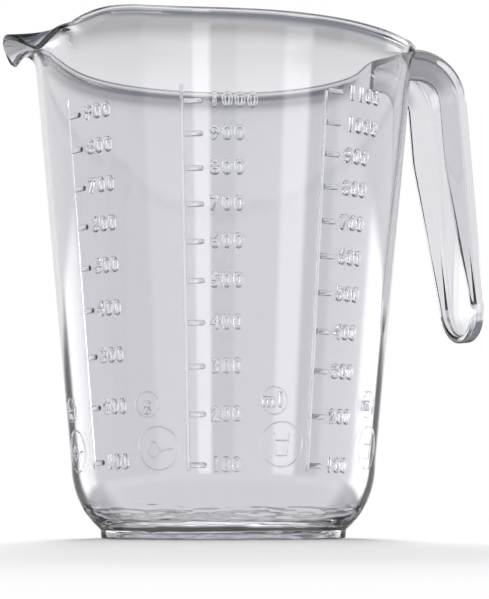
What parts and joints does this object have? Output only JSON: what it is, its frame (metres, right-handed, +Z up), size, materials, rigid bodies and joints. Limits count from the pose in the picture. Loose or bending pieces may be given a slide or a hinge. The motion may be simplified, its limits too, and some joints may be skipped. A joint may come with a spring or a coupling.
{
  "type": "measuring jug",
  "caption": "Clear plastic measuring jug with a tapered wall, rounded bottom, pouring lip, open channel handle and raised scales.",
  "frame": {"origin": "on the vessel's axis, in the plane that the foot stands on", "axes": "+X towards the handle, -X towards the pouring lip, +Z up"},
  "size_m": [0.1644, 0.1258, 0.1628],
  "materials": {
    "clear_plastic": "clear polystyrene, polished as it leaves the mould",
    "scale_marks": "raised marks, slightly frosted"
  },
  "bodies": {
    "root": {"foot_ring": "clear_plastic", "base_floor": "clear_plastic", "lower_bowl": "clear_plastic", "body_wall": "clear_plastic", "rim_collar": "clear_plastic", "pouring_lip": "clear_plastic", "handle_back": "clear_plastic", "handle_side_near": "clear_plastic", "handle_side_far": "clear_plastic", "handle_rounded_end": "clear_plastic", "lip_scale_line": "scale_marks", "lip_scale_ticks": "scale_marks", "centre_scale_line": "scale_marks", "centre_scale_ticks": "scale_marks", "right_scale_line": "scale_marks", "right_scale_ticks": "scale_marks"}
  },
  "joints": []
}
